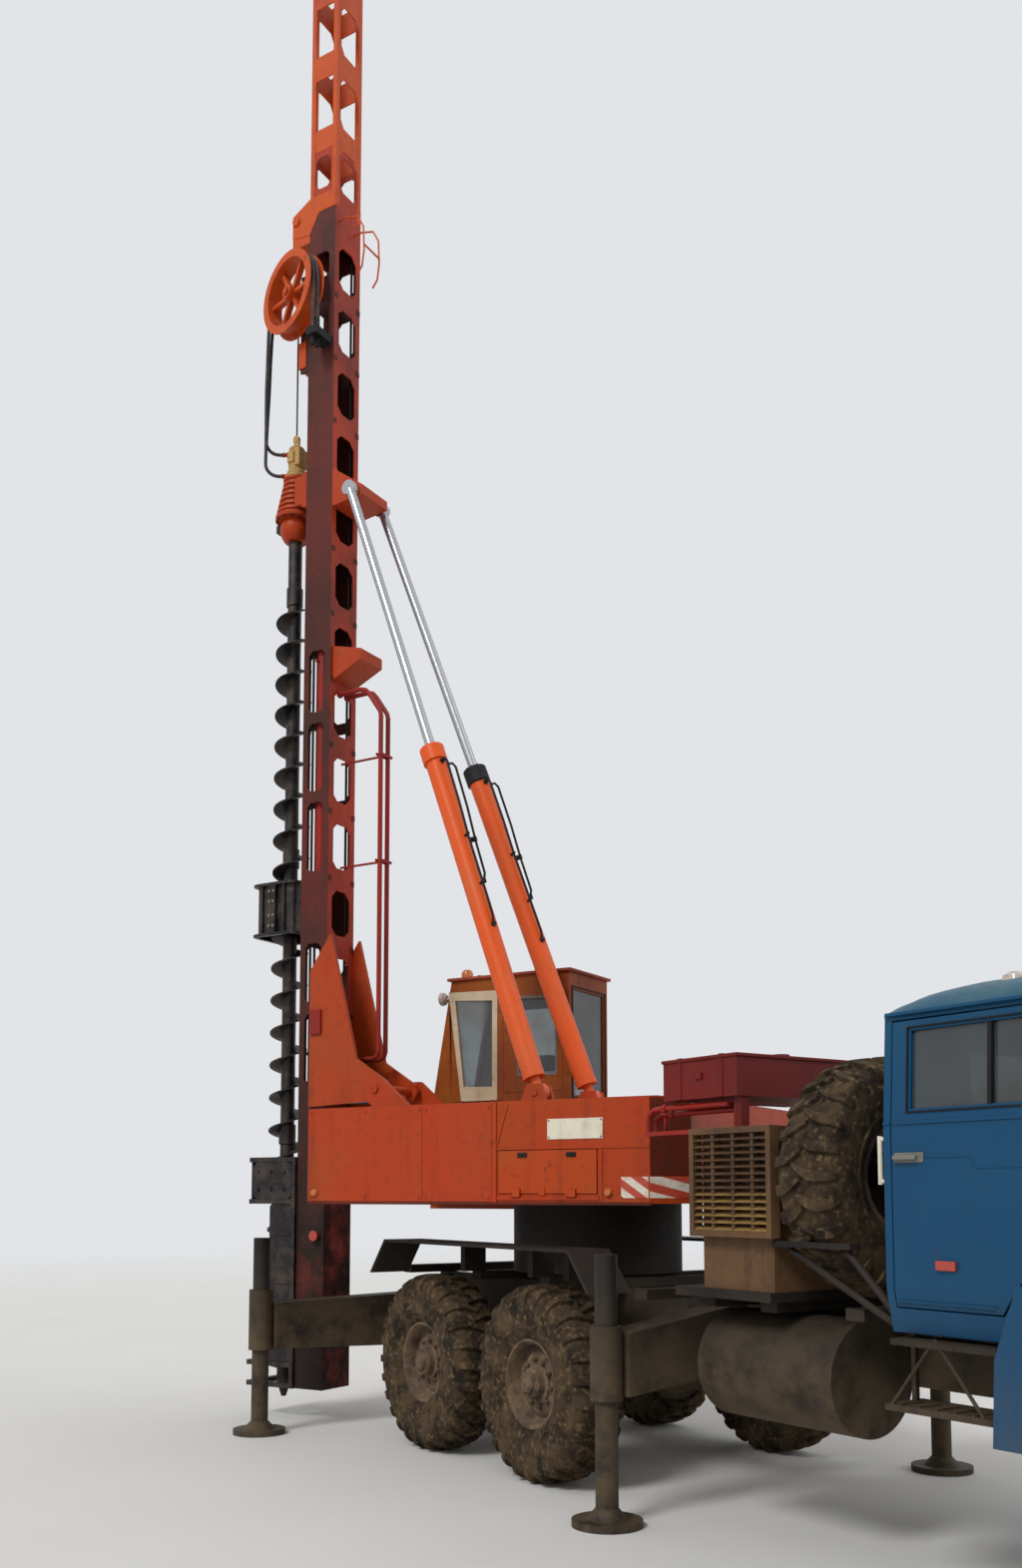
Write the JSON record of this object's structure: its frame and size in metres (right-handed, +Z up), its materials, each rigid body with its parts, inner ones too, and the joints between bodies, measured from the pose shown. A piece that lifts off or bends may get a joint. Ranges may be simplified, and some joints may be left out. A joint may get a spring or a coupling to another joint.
{
  "type": "truck-mounted pile driver rig",
  "caption": "Pile driver rig: a drilling mast with auger on a turning platform behind an operator cab, tilt cylinders and outriggers, on a bonneted six-wheel-drive truck.",
  "frame": {"origin": "on the ground, midway between the front bumper and the rearmost point of the drill string and hose wheel, on the truck's centreline", "axes": "+X forward along the truck, +Y to the truck's left, +Z up; the platform is stored slewed 26 degrees about Z, its mast over the truck's right rear corner"},
  "size_m": [9.7272, 4.1, 13.3],
  "materials": {
    "chassis_black": "dirty satin",
    "cab_blue": "gloss",
    "platform_orange": "weathered gloss",
    "upper_orange": "satin",
    "mast_red": "weathered",
    "cylinder_orange": "gloss",
    "rod_chrome": "polished",
    "tyre_rubber": "dusty",
    "glass": "clear",
    "auger_steel": "worn",
    "motor_cream": "satin",
    "guard_yellow": "dusty",
    "tank_red": "satin",
    "cab_ochre": "rusty",
    "trim_dark": "matt",
    "hose_rubber": "matt",
    "pipe_red": "gloss"
  },
  "bodies": {
    "chassis": {"chassis_frame": "chassis_black", "bumper": "chassis_black", "axles": "chassis_black", "fuel_tank": "chassis_black", "engine_block": "auger_steel", "truck_cab": "cab_blue", "cab_interior": "trim_dark", "cab_glass": "glass", "fenders": "cab_blue", "steps": "chassis_black", "spare_wheel": "tyre_rubber", "deck_frame": "chassis_black", "power_unit": "platform_orange", "radiator_guard": "guard_yellow", "tank_box": "tank_red", "mudguards": "chassis_black", "outrigger_front": "chassis_black", "outrigger_rear": "chassis_black", "slew_ring": "chassis_black"},
    "bonnet_lid": {"bonnet": "cab_blue"},
    "cab_door_left": {"door_left": "cab_blue"},
    "cab_door_right": {"door_right": "cab_blue"},
    "jack_leg_front_left": {"jack_front_left": "chassis_black"},
    "jack_leg_front_right": {"jack_front_right": "chassis_black"},
    "jack_leg_rear_left": {"jack_rear_left": "chassis_black"},
    "jack_leg_rear_right": {"jack_rear_right": "chassis_black"},
    "steer_left": {"knuckle_left": "chassis_black"},
    "steer_right": {"knuckle_right": "chassis_black"},
    "front_left_wheel": {"wheel_front_left": "tyre_rubber"},
    "front_right_wheel": {"wheel_front_right": "tyre_rubber"},
    "middle_left_wheel": {"wheel_middle_left": "tyre_rubber"},
    "middle_right_wheel": {"wheel_middle_right": "tyre_rubber"},
    "rear_left_wheel": {"wheel_rear_left": "tyre_rubber"},
    "rear_right_wheel": {"wheel_rear_right": "tyre_rubber"},
    "platform": {"platform_deck": "platform_orange", "engine_housing": "platform_orange", "operator_cab": "cab_ochre", "operator_glass": "glass", "operator_seat": "trim_dark"},
    "hatch_lid": {"hatch": "platform_orange"},
    "operator_door_leaf": {"operator_door": "cab_ochre"},
    "mast": {"mast_lower": "mast_red", "mast_upper": "upper_orange", "mast_support": "platform_orange", "auger_guide": "auger_steel", "feed_pipes": "pipe_red", "hose_upper": "hose_rubber", "hose_lower": "hose_rubber"},
    "steady": {"steady_guide": "auger_steel"},
    "top_wheel": {"hose_wheel": "upper_orange"},
    "sheave": {"crown_sheave": "auger_steel"},
    "head": {"drive_head": "cylinder_orange", "drive_motor": "motor_cream"},
    "auger_string": {"auger": "auger_steel"},
    "barrel_left": {"cylinder_left": "cylinder_orange"},
    "barrel_right": {"cylinder_right": "cylinder_orange"},
    "piston_left": {"rod_left": "rod_chrome"},
    "piston_right": {"rod_right": "rod_chrome"}
  },
  "joints": [
    {"name": "slew", "type": "hinge", "parent": "chassis", "child": "platform", "pos_m": [-1.88, 0, 1.78], "axis": [0, 0, 1], "range_deg": [-56, 4]},
    {"name": "mast_tilt", "type": "hinge", "parent": "platform", "child": "mast", "pos_m": [-3.53378, -0.8066, 2.68], "axis": [-0.4384, 0.8988, 0], "range_deg": [0, 90]},
    {"name": "barrel_left_pivot", "type": "hinge", "parent": "platform", "child": "barrel_left", "pos_m": [-2.2978, 0.26352, 2.58], "axis": [-0.4384, 0.8988, 0], "range_deg": [0, 103.28]},
    {"name": "piston_left_slide", "type": "slide", "parent": "barrel_left", "child": "piston_left", "axis": [-0.2977, -0.1839, 0.9368], "range_m": [-2.0103, 0]},
    {"name": "barrel_right_pivot", "type": "hinge", "parent": "platform", "child": "barrel_right", "pos_m": [-1.92957, -0.49147, 2.58], "axis": [-0.4384, 0.8988, 0], "range_deg": [0, 103.28]},
    {"name": "piston_right_slide", "type": "slide", "parent": "barrel_right", "child": "piston_right", "axis": [-0.3282, -0.1213, 0.9368], "range_m": [-2.0103, 0]},
    {"name": "head_feed", "type": "slide", "parent": "mast", "child": "head", "axis": [0, 0, 1], "range_m": [-4.8, 0.5], "deforming": ["hose_upper", "hose_lower"]},
    {"name": "steady_feed", "type": "slide", "parent": "mast", "child": "steady", "axis": [0, 0, 1], "range_m": [-1.8, 0.1875]},
    {"name": "auger_spin", "type": "hinge", "parent": "head", "child": "auger_string", "pos_m": [-4.55841, -1.30635, 7.5], "axis": [0, 0, 1], "continuous": true},
    {"name": "top_wheel_spin", "type": "hinge", "parent": "mast", "child": "top_wheel", "pos_m": [-4.32517, -1.46518, 9.75], "axis": [-0.1736, 0.9848, 0], "continuous": true},
    {"name": "sheave_spin", "type": "hinge", "parent": "mast", "child": "sheave", "pos_m": [-4.45504, -1.25593, 10.48], "axis": [-0.4384, 0.8988, 0], "continuous": true},
    {"name": "steer_left_pivot", "type": "hinge", "parent": "chassis", "child": "steer_left", "pos_m": [3.475, 0.745, 0.63], "axis": [0, 0, 1], "range_deg": [-28, 28]},
    {"name": "front_left_spin", "type": "hinge", "parent": "steer_left", "child": "front_left_wheel", "pos_m": [3.475, 1, 0.63], "axis": [0, 1, 0], "continuous": true},
    {"name": "middle_left_spin", "type": "hinge", "parent": "chassis", "child": "middle_left_wheel", "pos_m": [-1.08, 1, 0.63], "axis": [0, 1, 0], "continuous": true},
    {"name": "rear_left_spin", "type": "hinge", "parent": "chassis", "child": "rear_left_wheel", "pos_m": [-2.48, 1, 0.63], "axis": [0, 1, 0], "continuous": true},
    {"name": "cab_door_left_hinge", "type": "hinge", "parent": "chassis", "child": "cab_door_left", "pos_m": [2.853, 1.132, 1.9], "axis": [0, 0, -1], "range_deg": [0, 65]},
    {"name": "jack_front_left_slide", "type": "slide", "parent": "chassis", "child": "jack_leg_front_left", "axis": [0, 0, 1], "range_m": [0, 0.35]},
    {"name": "jack_rear_left_slide", "type": "slide", "parent": "chassis", "child": "jack_leg_rear_left", "axis": [0, 0, 1], "range_m": [0, 0.35]},
    {"name": "steer_right_pivot", "type": "hinge", "parent": "chassis", "child": "steer_right", "pos_m": [3.475, -0.745, 0.63], "axis": [0, 0, 1], "range_deg": [-28, 28]},
    {"name": "front_right_spin", "type": "hinge", "parent": "steer_right", "child": "front_right_wheel", "pos_m": [3.475, -1, 0.63], "axis": [0, 1, 0], "continuous": true},
    {"name": "middle_right_spin", "type": "hinge", "parent": "chassis", "child": "middle_right_wheel", "pos_m": [-1.08, -1, 0.63], "axis": [0, 1, 0], "continuous": true},
    {"name": "rear_right_spin", "type": "hinge", "parent": "chassis", "child": "rear_right_wheel", "pos_m": [-2.48, -1, 0.63], "axis": [0, 1, 0], "continuous": true},
    {"name": "cab_door_right_hinge", "type": "hinge", "parent": "chassis", "child": "cab_door_right", "pos_m": [2.853, -1.132, 1.9], "axis": [0, 0, 1], "range_deg": [0, 65]},
    {"name": "jack_front_right_slide", "type": "slide", "parent": "chassis", "child": "jack_leg_front_right", "axis": [0, 0, 1], "range_m": [0, 0.35]},
    {"name": "jack_rear_right_slide", "type": "slide", "parent": "chassis", "child": "jack_leg_rear_right", "axis": [0, 0, 1], "range_m": [0, 0.35]},
    {"name": "bonnet_hinge", "type": "hinge", "parent": "chassis", "child": "bonnet_lid", "pos_m": [3.24, 0, 1.972], "axis": [0, -1, 0], "range_deg": [0, 50]},
    {"name": "hatch_hinge", "type": "hinge", "parent": "platform", "child": "hatch_lid", "pos_m": [-1.12761, -0.98374, 1.828], "axis": [0.8988, 0.4384, 0], "range_deg": [0, 100]},
    {"name": "operator_door_hinge", "type": "hinge", "parent": "platform", "child": "operator_door_leaf", "pos_m": [-2.99699, 0.83706, 2.6], "axis": [0, 0, -1], "range_deg": [0, 80]}
  ],
  "couplings": [
    {"joint": "barrel_left_pivot", "follows": "mast_tilt", "ratio": 1.1443},
    {"joint": "piston_left_slide", "follows": "mast_tilt", "m_per_rad": -1.2734},
    {"joint": "barrel_right_pivot", "follows": "mast_tilt", "ratio": 1.1443},
    {"joint": "piston_right_slide", "follows": "mast_tilt", "m_per_rad": -1.2734},
    {"joint": "steady_feed", "follows": "head_feed", "ratio": 0.375},
    {"joint": "steer_left_pivot", "follows": "steer_right_pivot", "ratio": 1}
  ]
}
